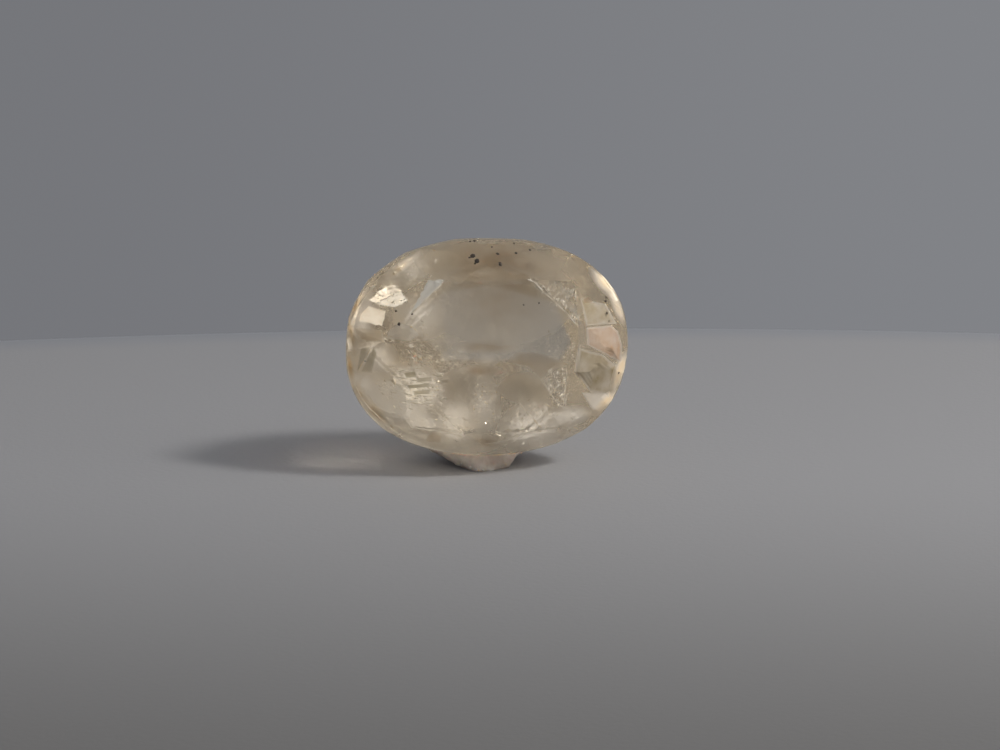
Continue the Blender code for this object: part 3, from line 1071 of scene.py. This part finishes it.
def make_feathers(name, patches, look, draw):
    """Patches of flakes. The flakes that glint face halfway towards the key."""
    glints = look is BRIGHT_LOOK
    places = []
    for outline, count, length, width, lean, stray, depths in patches:
        left, right = min(x for x, _ in outline), max(x for x, _ in outline)
        top, bottom = min(y for _, y in outline), max(y for _, y in outline)
        made = 0
        while made < count:
            x, y = draw.uniform(left, right), draw.uniform(top, bottom)
            if not inside_outline(x, y, outline):
                continue
            made += 1
            spot = in_stone(x, y, draw.uniform(*depths))
            if spot is None:
                continue
            size = draw.uniform(*FLAKE_SIZES)
            turn = math.radians(lean + draw.gauss(0, FLAKES_TURN))
            axes = flake_axes(
                turn, stray, glints, length * size, width * size, width * FLAKE_THICKNESS, draw
            )
            places.append((spot, axes))
    data = joined_copies(name, flake_form(), places)
    data.materials.append(plain_material(name, *look))
    return make_piece(name, data, "sapphire")


def make_inclusions_and_painted_light():
    draw = random.Random(SEED)
    return [
        make_cloud("cloud_left", -1, draw),
        make_cloud("cloud_right", 1, draw),
        make_specks(draw),
        make_plates("painted_light_plates", PAINTED_LIGHT_PLATES, PAINTED_LIGHT_MIRROR_LOOK, draw),
        make_plates("pale_fractures_and_painted_light", PALE_PLATES_AND_PAINTED_LIGHT, PALE_LOOK, draw),
        make_veils("white_veils", WHITE_SHEETS, WHITE_PUFFS, WHITE_VEIL),
        make_veils("painted_rim_glow", RIM_GLOW_SHEETS, RIM_GLOW_PUFFS, RIM_GLOW_COLOUR),
        make_veils("brown_veils", BROWN_SHEETS, BROWN_PUFFS, BROWN_VEIL, True),
        make_veils("peach_veil", PEACH_SHEETS, (), PEACH_VEIL),
        make_veils("khaki_veil", KHAKI_SHEETS, (), KHAKI_VEIL),
        make_veils("grey_veils", GREY_SHEETS, GREY_PUFFS, GREY_VEIL, True),
        make_plates("painted_star_facet_sheen", STAR_SHEEN_PLATES, STAR_SHEEN_LOOK, draw),
        make_streaks("bright_streaks_and_painted_glints", BRIGHT_STREAKS_AND_RIM_GLINTS, BRIGHT_LOOK, draw),
        make_streaks("pale_streaks_and_painted_highlights", PALE_STREAKS_AND_EDGE_HIGHLIGHTS, PALE_LOOK, draw),
        make_feathers("pale_feathers", PALE_FEATHERS, PALE_LOOK, draw),
        make_feathers("bright_feathers", BRIGHT_FEATHERS, BRIGHT_LOOK, draw),
    ]


# The wax

def fine_wax():
    """The CAD lump as a fine even mesh in millimetres."""
    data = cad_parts["wax_foot"].data.copy()
    data.transform(Matrix.Scale(1 / MM, 4))
    lump = bpy.data.objects.new("lump", data)
    bpy.context.scene.collection.objects.link(lump)
    remesh = lump.modifiers.new("fine", "REMESH")
    remesh.mode = "VOXEL"
    remesh.voxel_size = WAX_VOXEL
    seen = lump.evaluated_get(bpy.context.evaluated_depsgraph_get())
    mesh = bmesh.new()
    mesh.from_mesh(seen.to_mesh())
    seen.to_mesh_clear()
    bpy.data.objects.remove(lump, do_unlink=True)
    return mesh


def make_wax():
    """The wax with its thumbed lumps and creases, clear of the stone and flat underneath."""
    mesh = fine_wax()
    bmesh.ops.smooth_vert(
        mesh, verts=mesh.verts, factor=0.5, use_axis_x=True, use_axis_y=True, use_axis_z=True
    )
    mesh.normal_update()
    for vert in mesh.verts:
        standing = vert.co.z > WAX_VOXEL
        free = (-room_at(vert.co) - WAX_KEEPS_CLEAR) / WAX_SWELLS_OVER
        free = min(1.0, max(0.0, free))
        swell = sum(height * noise.noise(vert.co * waves) for height, waves in WAX_LUMPS)
        vert.co += vert.normal * swell * free
        vert.co.z = max(vert.co.z, 0.0) if standing else 0.0
    tree = BVHTree.FromBMesh(mesh)
    # Its colours carry painted light: lighter than the wax's own, for the light that reaches it through
    # the crystal
    wax = finish_piece("display_wax", mesh, WAX_LOOK_WITH_PAINTED_LIGHT, "wax", ("wax_foot",))
    wax.data.shade_smooth()
    shader = wax.data.materials[0].node_tree.nodes["Principled BSDF"]
    shader.inputs["Subsurface Weight"].default_value = WAX_SUBSURFACE
    shader.inputs["Subsurface Radius"].default_value = WAX_SUBSURFACE_RADII
    shader.inputs["Subsurface Scale"].default_value = WAX_SUBSURFACE_DEPTH * MM
    make_crumbs(tree)


def make_crumbs(tree):
    draw = random.Random(SEED)
    mesh = bmesh.new()
    for x, y, size in WAX_CRUMBS:
        start, ray = photo_ray(x, y)
        spot = tree.ray_cast(start, ray)[0]
        if spot is None:
            continue
        made = bmesh.ops.create_icosphere(mesh, subdivisions=2, radius=size / 2)["verts"]
        for vert in made:
            vert.co *= 1 + CRUMB_LUMPS * noise.noise(vert.co / size * CRUMB_WAVES + spot)
        bmesh.ops.transform(mesh, matrix=any_turn(draw).to_4x4(), verts=made)
        bmesh.ops.translate(mesh, vec=spot, verts=made)
        sunk = min(0.0, min(vert.co.z for vert in made))
        bmesh.ops.translate(mesh, vec=(0, 0, -sunk), verts=made)
    crumbs = finish_piece("wax_crumbs", mesh, CRUMB_LOOK, "wax")
    crumbs.data.shade_smooth()


camera = make_camera()
make_world()
make_key("key", KEY_WATTS)
make_floor()
planes = facet_planes()
tree_of_stone = stone_tree()
make_stone()
make_wax()
# What lies inside the crystal: its inclusions and the painted light among them
inclusions = make_inclusions_and_painted_light()
light_the_inside(inclusions, bpy.data.objects["dark_specks"])

scene = bpy.context.scene
scene.view_settings.view_transform = "Standard"
scene.cycles.max_bounces = BOUNCES
scene.cycles.transmission_bounces = BOUNCES
scene.cycles.glossy_bounces = BOUNCES
